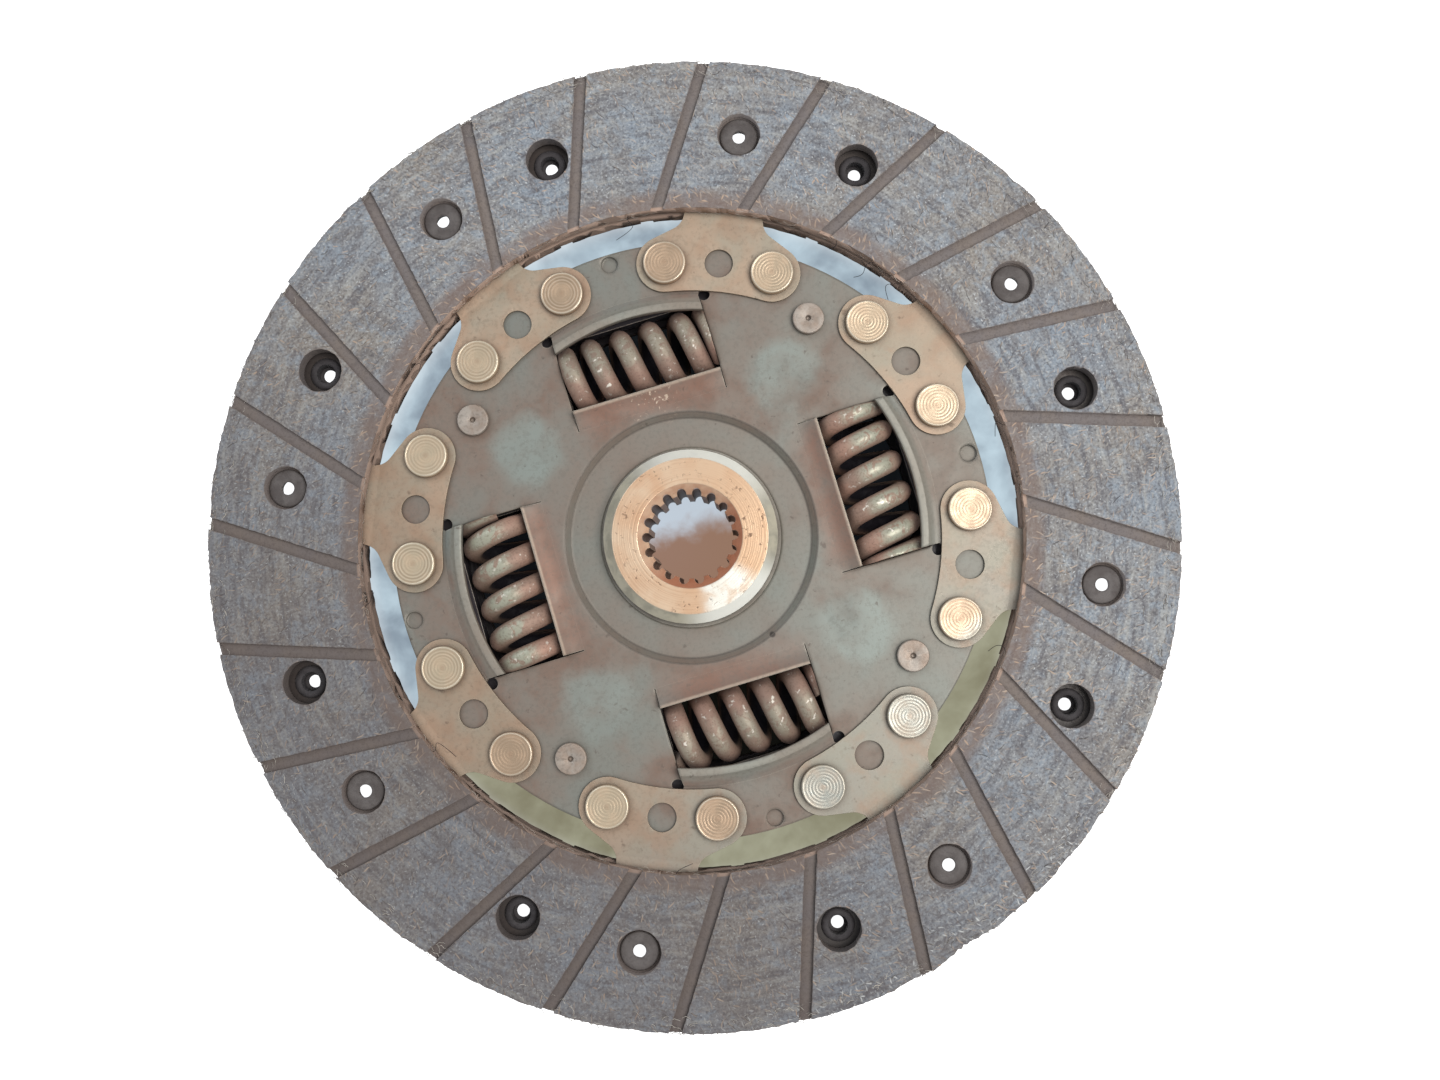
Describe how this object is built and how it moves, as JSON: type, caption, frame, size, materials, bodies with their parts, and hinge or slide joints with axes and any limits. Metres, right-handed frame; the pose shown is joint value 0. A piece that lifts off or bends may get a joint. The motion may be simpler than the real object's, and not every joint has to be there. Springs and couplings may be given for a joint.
{
  "type": "clutch disc",
  "caption": "Clutch friction disc with slanted grooves and a splined hub sprung in the disc, which passes engine torque to a gearbox shaft.",
  "frame": {"origin": "on the axis of the splined bore, in the middle plane between the two friction faces", "axes": "+Z along the axis towards the flywheel side, +X through a spring window"},
  "size_m": [0.2, 0.2, 0.0205],
  "materials": {
    "friction_facing": "worn fibre-filled friction compound, slate grey with fibres",
    "facing_rivet": "dull tubular rivets",
    "segment_rivet": "formed rivet heads, tan with turned rings",
    "segment_steel": "heat-tinted spring steel",
    "drive_plate": "phosphated steel with rust-brown tint",
    "stop_pin": "dull steel",
    "hub_steel": "machined steel",
    "spring_steel": "rust-brown spring wire with worn bright patches",
    "friction_bush": "dark bearing compound",
    "washer_steel": "dull spring steel"
  },
  "bodies": {
    "hub": {"hub": "hub_steel"},
    "disc": {"front_facing": "friction_facing", "rear_facing": "friction_facing", "front_facing_rivets": "facing_rivet", "rear_facing_rivets": "facing_rivet", "segment_rivets": "segment_rivet", "carrier_plate": "drive_plate", "retainer_plate": "drive_plate", "stop_pins": "stop_pin", "hub_bush": "friction_bush", "rear_friction_washer": "friction_bush", "support_washer": "washer_steel", "disc_spring": "washer_steel", "cushion_segment_1": "segment_steel", "cushion_segment_2": "segment_steel", "cushion_segment_3": "segment_steel", "cushion_segment_4": "segment_steel", "cushion_segment_5": "segment_steel", "cushion_segment_6": "segment_steel", "cushion_segment_7": "segment_steel", "cushion_segment_8": "segment_steel", "damper_spring_1": "spring_steel", "damper_spring_2": "spring_steel", "damper_spring_3": "spring_steel", "damper_spring_4": "spring_steel"}
  },
  "joints": [
    {"name": "damper_twist", "type": "hinge", "parent": "hub", "child": "disc", "pos_m": [0, 0, 0], "axis": [0, 0, 1], "range_deg": [-7, 7], "stiffness_Nm_per_rad": 10, "deforming": ["damper_spring_1", "damper_spring_2", "damper_spring_3", "damper_spring_4"]}
  ]
}
